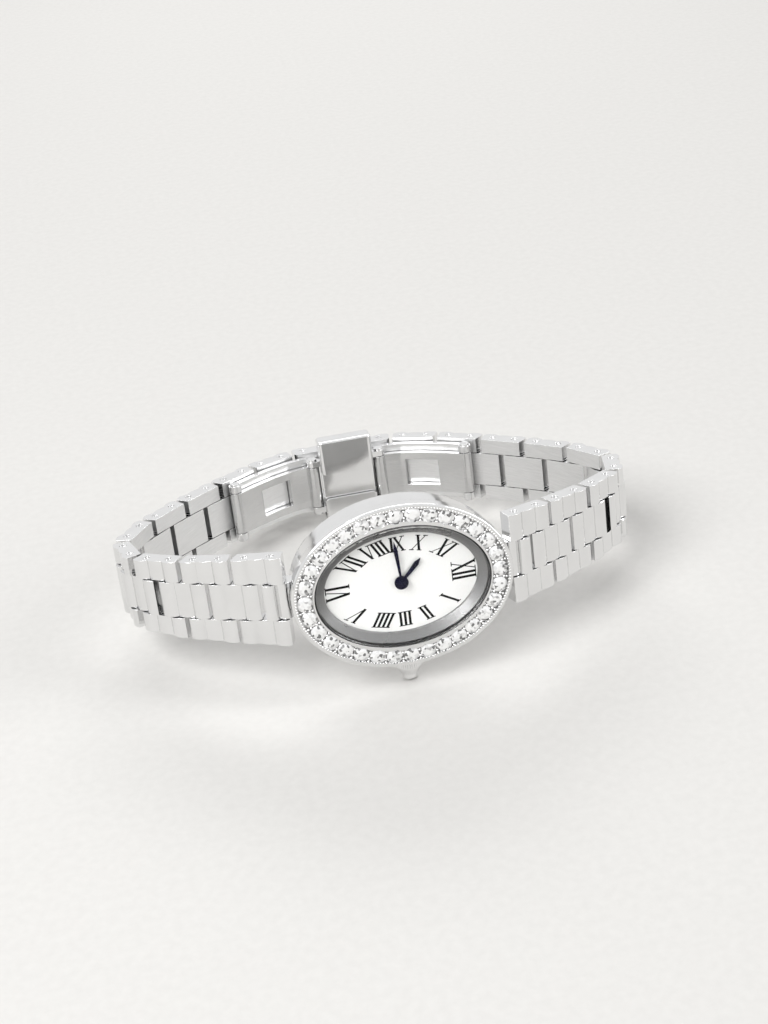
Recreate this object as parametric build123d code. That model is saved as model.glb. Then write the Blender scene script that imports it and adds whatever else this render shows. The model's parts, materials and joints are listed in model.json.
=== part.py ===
from build123d import *
import math
import os

os.makedirs("parts", exist_ok=True)

# An oval dress watch on a three-row bracelet with a butterfly clasp, closed, lying on its crown side.
# Lengths are in millimetres and angles in degrees.
# The bracelet is drawn as a loop in the XY plane: the dial faces -Y, 12 o'clock is at +X, 9 o'clock at +Z.
# The last step leans the loop back onto the crown and the lower push button.

# Head, from 12 to 6 o'clock and from 3 to 9 o'clock. Heights are above the plane of the lug pins.
BEZEL_LENGTH = 27.2
BEZEL_WIDTH = 20.9
BEZEL_TOP = 3.3
BEZEL_FOOT = 1.7
STONE_RING_LENGTH = 24.0
STONE_RING_WIDTH = 18.2
OPENING_LENGTH = 21.7
OPENING_WIDTH = 15.6
DIAL_LENGTH = 18.9
DIAL_WIDTH = 12.85
CASE_LENGTH = 26.3
CASE_WIDTH = 20.0
CASE_BACK_HEIGHT = -3.5

# Bracelet: pins stand half a link apart, and outer pairs alternate with centre links.
LINK_PITCH = 6.7
LINK_GAP = 0.3
LINK_THICKNESS = 2.3
LINK_PAIRS = 9
BAND_WIDTH = 11.6
CLASP_WIDTH = 8.8
TAPER_PAIRS = 4
CENTRE_WIDTH = 4.6
LUG_PIN_PLACE = 15.0
PIN_DIAMETER = 0.9
RUNNING_CLEARANCE = 0.05
SIDE_CLEARANCE = 0.1
LINK_BEVEL = 0.3
NOSE_RADIUS = 1.6
LINK_RIBS = 3
RIB_HEIGHT = 0.38
RIB_RECESS = 0.18
PIN_RECESS = 0.25

# Clasp: leaves, hinges and body, measured inwards from the plane of the bracelet pins.
LAST_PIN_PLACE = 5.5
LEAF_THICKNESS = 0.8
LEAF_GAP = 0.15
ARM_GAP = 0.2
ARM_WIDTH = 7.8
FOLD_LEAF_WIDTH = 5.8
BODY_HINGE_PLACE = 4.7
BODY_WIDTH = 7.6
BODY_THICKNESS = 1.6
CLASP_PIN_DIAMETER = 0.8
KNUCKLE_WALL = 0.45

# Shape of the loop: how much the bracelet turns at each pin.
FIRST_TURN = 25.0
EVEN_TURN = 2.0
SIDE_TURN_SPREAD = 1.55
CLASP_TURN = 28.5
CLASP_TURN_SPREAD = 1.6
HALF_LOOP_TURN = 180.0

OVERRUN = 1.0
HALF_PITCH = LINK_PITCH / 2
PIN_COUNT = 2 * LINK_PAIRS
ARM_HINGE_PIN = PIN_COUNT - 4


def bell(pin, centre, spread):
    """Share of a bend that falls on one pin, as a bell curve along the bracelet."""
    return math.exp(-((pin - centre) / spread) ** 2 / 2)


def loop_pins(side_centre):
    """Pin places and segment directions of the right half, with the side bend centred on a pin number."""
    side_shares = [bell(pin, side_centre, SIDE_TURN_SPREAD) for pin in range(1, PIN_COUNT + 1)]
    clasp_shares = [bell(pin, PIN_COUNT, CLASP_TURN_SPREAD) for pin in range(1, PIN_COUNT + 1)]
    side_turn = HALF_LOOP_TURN - FIRST_TURN - CLASP_TURN - EVEN_TURN * PIN_COUNT
    direction = FIRST_TURN
    pins = [Vector(LUG_PIN_PLACE, 0)]
    directions = []
    for side_share, clasp_share in zip(side_shares, clasp_shares):
        directions.append(direction)
        pins.append(pins[-1] + Vector(HALF_PITCH, 0).rotate(Axis.Z, direction))
        direction += EVEN_TURN + side_turn * side_share / sum(side_shares)
        direction += CLASP_TURN * clasp_share / sum(clasp_shares)
    directions.append(direction)
    return pins, directions


# The side bend moves along the bracelet until the last pin reaches the end link of the clasp.
early_centre = 0
late_centre = PIN_COUNT
for _ in range(40):
    side_centre = (early_centre + late_centre) / 2
    if loop_pins(side_centre)[0][-1].X < LAST_PIN_PLACE:
        early_centre = side_centre
    else:
        late_centre = side_centre
pins, directions = loop_pins(side_centre)
clasp_y = pins[-1].Y


def oval(length, width, height, top):
    """An oval slab whose upper face is at top."""
    return extrude(Pos(0, 0, top - height) * Ellipse(length / 2, width / 2), amount=height)


def post(diameter, bottom, top):
    """A round bar along Z."""
    return Pos(0, 0, bottom) * extrude(Circle(diameter / 2), amount=top - bottom)


def across(diameter, width):
    """A round bar across the bracelet, centred on its middle plane."""
    return extrude(Circle(diameter / 2), amount=width / 2, both=True)


def to_side(shape):
    """Turn a bar along Z so that it runs from the head's centre to 3 o'clock."""
    return Rot(90, 0, 0) * shape


def together(pieces):
    """Separate solids kept as one piece of the watch."""
    return Compound([solid for piece in pieces for solid in piece.solids()])


def ribbed_face(start, end, ribs, inner_level):
    """Side view of a link lying along X: convex ribs on the outer side (-Y), bevelled ends on the wrist side."""
    groove = LINK_THICKNESS / 2 - RIB_HEIGHT
    rib_width = (end - start) / ribs
    outline = []
    for rib in range(ribs):
        inner_rib = 0 < rib < ribs - 1
        crest = LINK_THICKNESS / 2 - (RIB_RECESS if inner_rib else 0)
        left = start + rib * rib_width
        outline.append(ThreePointArc((left, -groove), (left + rib_width / 2, -crest), (left + rib_width, -groove)))
    outline += Polyline((end, -groove), (end - LINK_BEVEL, inner_level), (start + LINK_BEVEL, inner_level),
                        (start, -groove)).edges()
    return make_face(outline)


# Case middle: the cavity takes the movement, the dial and the flange, and a centre lug stands at each end.
CASE_WALL = 2.35
CASE_TOP = BEZEL_FOOT
CASE_BOTTOM = -2.7
CASE_EDGE_ROUNDING = 0.7
LUG_ROOT_DEPTH = 2.0
LUG_RIB_PLACE = 13.2
LUG_RIBS = 2
STEM_PLACE = -0.3
STEM_DIAMETER = 0.9
STEM_CLEARANCE = 0.1

lug_overhang = (LINK_PITCH - LINK_GAP) / 2 - HALF_PITCH / 2
pin_hole = PIN_DIAMETER + 2 * RUNNING_CLEARANCE
cavity_length = CASE_LENGTH - 2 * CASE_WALL
cavity_width = CASE_WIDTH - 2 * CASE_WALL
case_height = CASE_TOP - CASE_BOTTOM
case_middle = oval(CASE_LENGTH, CASE_WIDTH, case_height, CASE_TOP)
case_middle = fillet(case_middle.edges().group_by(Axis.Z)[0], CASE_EDGE_ROUNDING)
lug_reach = LUG_PIN_PLACE + lug_overhang
lug_root = CASE_LENGTH / 2 - LUG_ROOT_DEPTH
lug = ribbed_face(LUG_RIB_PLACE, lug_reach, LUG_RIBS, LINK_THICKNESS / 2)
lug = extrude(lug, amount=CENTRE_WIDTH / 2, both=True)
lug = Rot(-90, 0, 0) * lug
lug -= Pos(LUG_PIN_PLACE, 0, 0) * Rot(90, 0, 0) * across(pin_hole, CENTRE_WIDTH + OVERRUN)
lug += Pos((lug_root + LUG_RIB_PLACE + LINK_BEVEL) / 2, 0, -RIB_HEIGHT / 2) * Box(
    LUG_RIB_PLACE + LINK_BEVEL - lug_root, CENTRE_WIDTH, LINK_THICKNESS - RIB_HEIGHT)
case_middle += lug
case_middle += Rot(0, 0, 180) * lug
case_middle -= oval(cavity_length, cavity_width, case_height + 2 * OVERRUN, CASE_TOP + OVERRUN)
stem_hole = STEM_DIAMETER + 2 * STEM_CLEARANCE
case_middle -= Pos(0, 0, STEM_PLACE) * to_side(post(stem_hole, cavity_width / 4, CASE_WIDTH))

# Bezel: a ring pressed on the case, with a round seat for each stone.
STONE_COUNT = 32
STONE_DIAMETER = 1.85
STONE_CROWN = 0.3
STONE_PAVILION = 0.75
STONE_TABLE = 1.05
STONE_CLEARANCE = 0.02
RIM_WIDTH = 0.62
STONE_BAND_DEPTH = 0.22
BEZEL_EDGE_ROUNDING = 0.25

bezel_height = BEZEL_TOP - BEZEL_FOOT
bezel = oval(BEZEL_LENGTH, BEZEL_WIDTH, bezel_height, BEZEL_TOP)
bezel = fillet(bezel.edges().group_by(Axis.Z)[-1], BEZEL_EDGE_ROUNDING)
bezel -= oval(OPENING_LENGTH, OPENING_WIDTH, bezel_height + 2 * OVERRUN, BEZEL_TOP + OVERRUN)
band_outside_length = BEZEL_LENGTH - 2 * RIM_WIDTH
band_outside_width = BEZEL_WIDTH - 2 * RIM_WIDTH
band_inside_length = 2 * STONE_RING_LENGTH - band_outside_length
band_inside_width = 2 * STONE_RING_WIDTH - band_outside_width
stone_band = oval(band_outside_length, band_outside_width, STONE_BAND_DEPTH + OVERRUN, BEZEL_TOP + OVERRUN)
stone_band -= oval(band_inside_length, band_inside_width, STONE_BAND_DEPTH + OVERRUN, BEZEL_TOP + OVERRUN)
bezel -= stone_band


def stone():
    """A round brilliant about Z with its girdle at height zero."""
    outline = Polyline((0, -STONE_PAVILION), (STONE_DIAMETER / 2, 0), (STONE_TABLE / 2, STONE_CROWN),
                       (0, STONE_CROWN), close=True)
    return revolve(Plane.XZ * make_face(outline), Axis.Z)


def stone_seat():
    """The conical seat of a stone, open upwards, larger all round by the stone's clearance."""
    radius = STONE_DIAMETER / 2 + STONE_CLEARANCE
    outline = Polyline((0, -STONE_PAVILION - STONE_CLEARANCE), (radius, 0), (radius, OVERRUN), (0, OVERRUN),
                       close=True)
    return revolve(Plane.XZ * make_face(outline), Axis.Z)


# The stones stand at equal steps along the oval, found by walking its length.
ring_path = Ellipse(STONE_RING_LENGTH / 2, STONE_RING_WIDTH / 2).wire()
stone_level = BEZEL_TOP - STONE_BAND_DEPTH
stones = []
seats = []
for index in range(STONE_COUNT):
    place = ring_path.position_at(index / STONE_COUNT)
    stones.append(Pos(place.X, place.Y, stone_level) * stone())
    seats.append(Pos(place.X, place.Y, stone_level) * stone_seat())
bezel -= seats

# Crystal: a domed oval held by a thin seal inside the bezel.
SEAL_THICKNESS = 0.2
CRYSTAL_EDGE = 0.75
DOME_RADIUS = 90.0
DOME_TOP = 3.95
SEAL_RECESS = 0.25

crystal_length = OPENING_LENGTH - 2 * SEAL_THICKNESS
crystal_width = OPENING_WIDTH - 2 * SEAL_THICKNESS
crystal_foot = BEZEL_TOP - CRYSTAL_EDGE
crystal = oval(crystal_length, crystal_width, DOME_TOP - crystal_foot, DOME_TOP)
crystal &= Pos(0, 0, DOME_TOP - DOME_RADIUS) * Sphere(DOME_RADIUS)

# Seals: one round the crystal and one under the case back.
BACK_SEAL_WIDTH = 0.6
BACK_SEAL_HEIGHT = 0.3
BACK_SEAL_INSET = 0.7

seal_height = CRYSTAL_EDGE - SEAL_RECESS
crystal_seal = oval(OPENING_LENGTH, OPENING_WIDTH, seal_height, BEZEL_TOP - SEAL_RECESS)
crystal_seal -= oval(crystal_length, crystal_width, seal_height, BEZEL_TOP - SEAL_RECESS)
back_seal_top = CASE_BOTTOM + BACK_SEAL_HEIGHT
back_seal_length = CASE_LENGTH - 2 * CASE_WALL + 2 * BACK_SEAL_INSET + 2 * BACK_SEAL_WIDTH
back_seal_width = CASE_WIDTH - 2 * CASE_WALL + 2 * BACK_SEAL_INSET + 2 * BACK_SEAL_WIDTH
back_seal = oval(back_seal_length, back_seal_width, BACK_SEAL_HEIGHT, back_seal_top)
back_seal -= oval(back_seal_length - 2 * BACK_SEAL_WIDTH, back_seal_width - 2 * BACK_SEAL_WIDTH,
                  BACK_SEAL_HEIGHT, back_seal_top)
case_middle -= back_seal

# Dial flange: the grey ring that slopes from the crystal to an upright lip round the dial.
DIAL_LEVEL = 1.45
FLANGE_LAND = 0.15
FLANGE_LIP = 0.5

flange_height = crystal_foot - DIAL_LEVEL
dial_flange = oval(cavity_length, cavity_width, flange_height, crystal_foot)
dial_flange -= oval(DIAL_LENGTH, DIAL_WIDTH, flange_height + OVERRUN, crystal_foot)
slope = [Pos(0, 0, DIAL_LEVEL + FLANGE_LIP) * Ellipse(DIAL_LENGTH / 2, DIAL_WIDTH / 2),
         Pos(0, 0, crystal_foot) * Ellipse(crystal_length / 2 - FLANGE_LAND, crystal_width / 2 - FLANGE_LAND)]
dial_flange -= loft(slope)

# Dial: a thin plate under the flange, with the hole for the hands.
DIAL_THICKNESS = 0.35
DIAL_CLEARANCE = 0.05
DIAL_HOLE = 1.5

dial_length = cavity_length - 2 * DIAL_CLEARANCE
dial_width = cavity_width - 2 * DIAL_CLEARANCE
dial = oval(dial_length, dial_width, DIAL_THICKNESS, DIAL_LEVEL)
dial -= post(DIAL_HOLE, DIAL_LEVEL - DIAL_THICKNESS - OVERRUN, DIAL_LEVEL + OVERRUN)

# Motion work: the cannon pinion drives the minute wheel, whose pinion drives the hour wheel.
GEAR_MODULE = 0.1
CANNON_TEETH = 10
MINUTE_WHEEL_TEETH = 30
MINUTE_PINION_TEETH = 8
HOUR_WHEEL_TEETH = 32
ADDENDUM_SHARE = 0.8
DEDENDUM_SHARE = 1.2
TOOTH_ROOT_SHARE = 0.56
TOOTH_TIP_SHARE = 0.24
WHEEL_THICKNESS = 0.2
WHEEL_GAP = 0.08
HOUR_HAND_GAP = 0.2
ARBOR_DIAMETER = 0.4
HOUR_PIPE_DIAMETER = 1.2
HOUR_PIPE_BORE = 0.9
CANNON_PIPE_DIAMETER = 0.8
STUD_DIAMETER = 0.36
STUD_BORE = 0.44
HAND_THICKNESS = 0.15
HAND_BOSS_HEIGHT = 0.25
MINUTE_HAND_LENGTH = 5.6
HOUR_HAND_LENGTH = 3.8
MINUTE_HAND_WIDTH = 0.5
HOUR_HAND_WIDTH = 0.62
HAND_BELLY_SHARE = 0.78
HAND_ROOT_SHARE = 0.4
MINUTE_HAND_BOSS = 1.3
HOUR_HAND_BOSS = 1.7
HOUR_HAND_DIRECTION = 46.0
MINUTE_HAND_DIRECTION = 94.0


def gear(teeth, thickness, bottom):
    """A toothed disc about Z with straight-sided teeth, one of them pointing along +X."""
    pitch_radius = teeth * GEAR_MODULE / 2
    tip_radius = pitch_radius + ADDENDUM_SHARE * GEAR_MODULE
    root_radius = pitch_radius - DEDENDUM_SHARE * GEAR_MODULE
    step = 360 / teeth
    outline = []
    for tooth in range(teeth):
        middle = tooth * step
        outline.append(Vector(root_radius, 0).rotate(Axis.Z, middle - TOOTH_ROOT_SHARE * step / 2))
        outline.append(Vector(tip_radius, 0).rotate(Axis.Z, middle - TOOTH_TIP_SHARE * step / 2))
        outline.append(Vector(tip_radius, 0).rotate(Axis.Z, middle + TOOTH_TIP_SHARE * step / 2))
        outline.append(Vector(root_radius, 0).rotate(Axis.Z, middle + TOOTH_ROOT_SHARE * step / 2))
    face = make_face(Polyline(*outline, close=True))
    return Pos(0, 0, bottom) * extrude(face, amount=thickness)


def hand(length, width, boss, bore, level, bore_top, direction):
    """A flat hand, widest near its point, with a round bored boss, turned from 12 towards 9 o'clock."""
    belly = length * HAND_BELLY_SHARE
    root = width * HAND_ROOT_SHARE
    outline = Polyline((0, -root / 2), (belly, -width / 2), (length, 0), (belly, width / 2),
                       (0, root / 2), close=True)
    shape = Pos(0, 0, level) * extrude(make_face(outline), amount=HAND_THICKNESS)
    shape += post(boss, level, level + HAND_BOSS_HEIGHT)
    shape -= post(bore, level - OVERRUN, bore_top)
    return Rot(0, 0, direction) * shape


wheel_centre_distance = (CANNON_TEETH + MINUTE_WHEEL_TEETH) * GEAR_MODULE / 2
dial_underside = DIAL_LEVEL - DIAL_THICKNESS
hour_wheel_bottom = dial_underside - WHEEL_GAP - WHEEL_THICKNESS
minute_wheel_bottom = hour_wheel_bottom - WHEEL_GAP - WHEEL_THICKNESS
motion_floor = minute_wheel_bottom - WHEEL_GAP
hour_hand_level = DIAL_LEVEL + HOUR_HAND_GAP
minute_hand_level = hour_hand_level + HAND_BOSS_HEIGHT + WHEEL_GAP
pipe_top = hour_hand_level + HAND_BOSS_HEIGHT

hour_wheel = gear(HOUR_WHEEL_TEETH, WHEEL_THICKNESS, hour_wheel_bottom)
hour_wheel += post(HOUR_PIPE_DIAMETER, hour_wheel_bottom, pipe_top)
hour_wheel -= post(HOUR_PIPE_BORE, hour_wheel_bottom - OVERRUN, pipe_top + OVERRUN)
hour_hand = hand(HOUR_HAND_LENGTH, HOUR_HAND_WIDTH, HOUR_HAND_BOSS, HOUR_PIPE_DIAMETER,
                 hour_hand_level, pipe_top + OVERRUN, HOUR_HAND_DIRECTION)

cannon_pinion = gear(CANNON_TEETH, WHEEL_THICKNESS, minute_wheel_bottom)
cannon_pinion = Rot(0, 0, 180 / CANNON_TEETH) * cannon_pinion
cannon_pipe_top = minute_hand_level + HAND_THICKNESS
cannon_pinion += post(CANNON_PIPE_DIAMETER, minute_wheel_bottom, cannon_pipe_top)
cannon_pinion -= post(ARBOR_DIAMETER, minute_wheel_bottom - OVERRUN, minute_hand_level)
minute_hand = hand(MINUTE_HAND_LENGTH, MINUTE_HAND_WIDTH, MINUTE_HAND_BOSS, CANNON_PIPE_DIAMETER,
                   minute_hand_level, cannon_pipe_top, MINUTE_HAND_DIRECTION)

minute_wheel = gear(MINUTE_WHEEL_TEETH, WHEEL_THICKNESS, minute_wheel_bottom)
minute_wheel += gear(MINUTE_PINION_TEETH, WHEEL_THICKNESS + WHEEL_GAP, hour_wheel_bottom - WHEEL_GAP)
minute_wheel -= post(STUD_BORE, motion_floor, dial_underside)
minute_wheel = Pos(-wheel_centre_distance, 0, 0) * minute_wheel

# Movement: one oval plate under the dial, with the wheel recess, the arbor, the stud and the battery pocket.
PLATE_CLEARANCE = 0.15
PLATE_BOTTOM = -2.35
WHEEL_RECESS_MARGIN = 0.2
BATTERY_DIAMETER = 5.8
BATTERY_HEIGHT = 1.25
BATTERY_CLEARANCE = 0.1
BATTERY_PLACE = 4.6
STEM_INNER_END = 3.9
STEM_SLOT_MARGIN = 0.3

movement_plate = oval(cavity_length - 2 * PLATE_CLEARANCE, cavity_width - 2 * PLATE_CLEARANCE,
                      dial_underside - PLATE_BOTTOM, dial_underside)
hour_recess = HOUR_WHEEL_TEETH * GEAR_MODULE + 2 * GEAR_MODULE + 2 * WHEEL_RECESS_MARGIN
minute_recess = MINUTE_WHEEL_TEETH * GEAR_MODULE + 2 * GEAR_MODULE + 2 * WHEEL_RECESS_MARGIN
movement_plate -= post(hour_recess, motion_floor, dial_underside + OVERRUN)
movement_plate -= Pos(-wheel_centre_distance, 0, 0) * post(minute_recess, motion_floor, dial_underside + OVERRUN)
movement_plate += post(ARBOR_DIAMETER - 2 * RUNNING_CLEARANCE, motion_floor - OVERRUN / 2,
                       minute_hand_level - WHEEL_GAP)
movement_plate += Pos(-wheel_centre_distance, 0, 0) * post(STUD_DIAMETER, motion_floor - OVERRUN / 2,
                                                           dial_underside)
battery_pocket = post(BATTERY_DIAMETER + 2 * BATTERY_CLEARANCE, PLATE_BOTTOM - OVERRUN,
                      PLATE_BOTTOM + BATTERY_HEIGHT)
movement_plate -= Pos(BATTERY_PLACE, 0, 0) * battery_pocket
battery = Pos(BATTERY_PLACE, 0, 0) * post(BATTERY_DIAMETER, PLATE_BOTTOM, PLATE_BOTTOM + BATTERY_HEIGHT)
stem_slot = stem_hole + 2 * STEM_SLOT_MARGIN
movement_plate -= Pos(0, 0, STEM_PLACE) * to_side(post(stem_slot, STEM_INNER_END - STEM_SLOT_MARGIN, CASE_WIDTH))

# Case back: a flat oval cover with a rim that locates in the case.
BACK_MARGIN = 0.35
BACK_RIM_CLEARANCE = 0.1
BACK_RIM_WALL = 0.8
BACK_EDGE_ROUNDING = 0.4
BACK_RIM_HEIGHT = 0.3

back_thickness = CASE_BOTTOM - CASE_BACK_HEIGHT
case_back = oval(CASE_LENGTH - 2 * BACK_MARGIN - 2 * CASE_EDGE_ROUNDING,
                 CASE_WIDTH - 2 * BACK_MARGIN - 2 * CASE_EDGE_ROUNDING, back_thickness, CASE_BOTTOM)
case_back = fillet(case_back.edges().group_by(Axis.Z)[0], BACK_EDGE_ROUNDING)
rim_length = cavity_length - 2 * BACK_RIM_CLEARANCE
rim_width = cavity_width - 2 * BACK_RIM_CLEARANCE
back_rim = oval(rim_length, rim_width, BACK_RIM_HEIGHT, CASE_BOTTOM + BACK_RIM_HEIGHT)
back_rim -= oval(rim_length - 2 * BACK_RIM_WALL, rim_width - 2 * BACK_RIM_WALL, BACK_RIM_HEIGHT,
                 CASE_BOTTOM + BACK_RIM_HEIGHT)
case_back += back_rim

# Crown and stem: a fluted crown at 3 o'clock that turns, on a stem that pulls out one click to set the hands.
CROWN_DIAMETER = 3.6
CROWN_HEIGHT = 2.9
CROWN_SHOULDER_DIAMETER = 2.3
CROWN_SHOULDER_HEIGHT = 1.1
CROWN_TIP_DIAMETER = 1.9
CROWN_TIP_HEIGHT = 0.85
CROWN_GAP = 0.1
FLUTE_COUNT = 20
FLUTE_DEPTH = 0.12
FLUTE_DIAMETER = 0.3
CONTACT_ROUNDING = 0.3
STEM_IN_CROWN = 1.8

crown_foot = CASE_WIDTH / 2 + CROWN_GAP
crown_top = crown_foot + CROWN_HEIGHT
crown_end = crown_top + CROWN_TIP_HEIGHT
crown_outline = Polyline((0, crown_foot), (CROWN_DIAMETER / 2, crown_foot),
                         (CROWN_DIAMETER / 2, crown_top - CROWN_SHOULDER_HEIGHT),
                         (CROWN_SHOULDER_DIAMETER / 2, crown_top), (0, crown_top), close=True)
crown = revolve(Plane.XZ * make_face(crown_outline), Axis.Z)
flute_place = (CROWN_DIAMETER + FLUTE_DIAMETER) / 2 - FLUTE_DEPTH
flute = Pos(flute_place, 0, 0) * post(FLUTE_DIAMETER, crown_foot - OVERRUN, crown_top)
crown -= [Rot(0, 0, index * 360 / FLUTE_COUNT) * flute for index in range(FLUTE_COUNT)]
crown_tip = post(CROWN_TIP_DIAMETER, crown_top, crown_end)
crown += fillet(crown_tip.edges().group_by(Axis.Z)[-1], CONTACT_ROUNDING)
crown_bore = STEM_DIAMETER + 2 * RUNNING_CLEARANCE
crown -= post(crown_bore, crown_foot - OVERRUN, crown_foot + STEM_IN_CROWN)
crown = Pos(0, 0, STEM_PLACE) * to_side(crown)
crown_stem = Pos(0, 0, STEM_PLACE) * to_side(post(STEM_DIAMETER, STEM_INNER_END, crown_foot + STEM_IN_CROWN))

# The head stands upright in the loop, with its dial towards -Y.
upright = Rot(90, 0, 0)
nodes = {
    "case_middle": case_middle, "bezel": bezel, "bezel_stones": together(stones),
    "crystal": crystal, "case_gaskets": together([crystal_seal, back_seal]),
    "dial_flange": dial_flange, "dial": dial, "hour_hand": hour_hand, "minute_hand": minute_hand,
    "hour_wheel": hour_wheel, "minute_wheel": minute_wheel, "cannon_pinion": cannon_pinion,
    "movement_plate": movement_plate, "battery": battery, "case_back": case_back,
    "crown": crown, "crown_stem": crown_stem,
}
nodes = {name: upright * shape for name, shape in nodes.items()}


# Bracelet links. In a link's own frame X runs from its first pin to its second, +Y is the wrist side.
link_start = -lug_overhang
link_end = HALF_PITCH + lug_overhang


def centre_link():
    """One centre link with a running hole at each pin."""
    face = ribbed_face(link_start, link_end, LINK_RIBS, LINK_THICKNESS / 2)
    shape = extrude(face, amount=CENTRE_WIDTH / 2, both=True)
    for place in (0, HALF_PITCH):
        shape -= Pos(place, 0, 0) * across(pin_hole, CENTRE_WIDTH + OVERRUN)
    return shape


def half_width(station):
    """Half the bracelet's width at a number of outer pairs from the case."""
    taper = min(station / TAPER_PAIRS, 1)
    return (BAND_WIDTH + (CLASP_WIDTH - BAND_WIDTH) * taper) / 2


def outer_pair(start_half_width, end_half_width):
    """Two outer links and the two pins that they hold, narrowing towards the clasp."""
    near = CENTRE_WIDTH / 2 + SIDE_CLEARANCE
    side = extrude(ribbed_face(link_start, link_end, LINK_RIBS, LINK_THICKNESS / 2), amount=BAND_WIDTH, both=True)
    plan = Plane.XZ * make_face(Polyline((link_start, near), (link_end, near), (link_end, end_half_width),
                                         (link_start, start_half_width), close=True))
    column = side & extrude(plan, amount=LINK_THICKNESS, both=True)
    pieces = []
    for place in (0, HALF_PITCH):
        column -= Pos(place, 0, 0) * across(PIN_DIAMETER, 2 * BAND_WIDTH)
        along = (place - link_start) / (link_end - link_start)
        pin_reach = start_half_width + (end_half_width - start_half_width) * along - PIN_RECESS
        pieces.append(Pos(place, 0, 0) * across(PIN_DIAMETER, 2 * pin_reach))
    return together([column, mirror(column, Plane.XY)] + pieces)


def nose_cutter():
    """What is cut off beyond a pin at the origin so that the end there turns inside a round nose."""
    corner = Box(LINK_THICKNESS, 2 * LINK_THICKNESS, 2 * BAND_WIDTH, align=(Align.MIN, Align.CENTER, Align.CENTER))
    return corner - across(2 * NOSE_RADIUS, 2 * BAND_WIDTH)


def at_pin(number):
    """Place of a link that starts at a pin of the right half."""
    return Pos(pins[number].X, pins[number].Y, 0) * Rot(0, 0, directions[number])


def both_sides(name, shape):
    """Keep a piece of the right half, and its mirror image in the left half."""
    nodes[f"right_{name}"] = shape
    nodes[f"left_{name}"] = mirror(shape, Plane.YZ)


nose_corner = nose_cutter()
for pair in range(LINK_PAIRS):
    outer = outer_pair(half_width(pair), half_width(pair + 1))
    both_sides(f"outer_link_{pair + 1}", at_pin(2 * pair) * outer)
    centre = centre_link()
    if pair == LINK_PAIRS - 1:
        centre -= Pos(HALF_PITCH, 0, 0) * nose_corner
    both_sides(f"centre_link_{pair + 1}", at_pin(2 * pair + 1) * centre)

# Clasp leaves follow the bend of the bracelet at a fixed depth inside its pins.
KNUCKLE_GAP = 0.1
ARM_TIP_PLACE = 0.3
END_LINK_GAP = 0.3
END_CENTRE_RIBS = 2
BEND_RADIUS = 2.0
NOSE_SLOT_MARGIN = 0.4
CATCH_POST_DIAMETER = 0.9
CATCH_POST_LENGTH = 1.0
CATCH_POST_PLACE = 1.9
CATCH_CLEARANCE = 0.45
WINDOW_WIDTH = 3.8
WINDOW_LENGTH = 4.8
PIN_HEAD_DIAMETER = 1.3
PIN_HEAD_HEIGHT = 0.25

knuckle_radius = CLASP_PIN_DIAMETER / 2 + KNUCKLE_WALL
arm_near = LINK_THICKNESS / 2 + ARM_GAP
arm_far = arm_near + LEAF_THICKNESS
fold_near = arm_far + LEAF_GAP
fold_far = fold_near + LEAF_THICKNESS
body_far = fold_near + BODY_THICKNESS
arm_hinge_depth = arm_near + knuckle_radius
body_hinge_depth = fold_near + BODY_THICKNESS / 2


def inside_pin(number, depth):
    """A point at a depth inside a pin, on the line that halves the bend there."""
    bend = directions[number] - directions[number - 1]
    reach = depth / math.cos(math.radians(bend / 2))
    return pins[number] + Vector(0, reach).rotate(Axis.Z, directions[number] - bend / 2)


def leaf(start_x, near, far, width):
    """A bent leaf across the bracelet, from a place near the clasp's middle to the fold hinge."""
    numbers = range(PIN_COUNT, ARM_HINGE_PIN - 1, -1)
    near_points = [Vector(start_x, clasp_y - near)] + [inside_pin(number, near) for number in numbers]
    far_points = [Vector(start_x, clasp_y - far)] + [inside_pin(number, far) for number in numbers]
    near_line = FilletPolyline(*near_points, radius=BEND_RADIUS)
    far_line = FilletPolyline(*far_points, radius=BEND_RADIUS)
    ends = [Line(near_points[0], far_points[0]), Line(near_points[-1], far_points[-1])]
    return extrude(make_face([near_line, far_line] + ends), amount=width / 2, both=True)


def block(x_range, depth_range, width):
    """A box between two X places and two depths inside the clasp's pins."""
    size_x = x_range[1] - x_range[0]
    size_y = depth_range[1] - depth_range[0]
    middle = Pos((x_range[0] + x_range[1]) / 2, clasp_y - (depth_range[0] + depth_range[1]) / 2, 0)
    return middle * Box(size_x, size_y, width)


def knuckle_ring(place, width, hole):
    """A round knuckle across the bracelet at a hinge, with its pin hole."""
    return Pos(place.X, place.Y, 0) * (across(2 * knuckle_radius, width) - across(hole, width + OVERRUN))


def at_hinge(place, shape):
    """Move a bar across the bracelet to a hinge."""
    return Pos(place.X, place.Y, 0) * shape


arm_hinge = inside_pin(ARM_HINGE_PIN, arm_hinge_depth)
body_hinge = Vector(BODY_HINGE_PLACE, clasp_y - body_hinge_depth)
last_pin = pins[-1]
clasp_pin_hole = CLASP_PIN_DIAMETER + 2 * RUNNING_CLEARANCE
inner_knuckle = FOLD_LEAF_WIDTH + 2 * KNUCKLE_GAP

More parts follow.
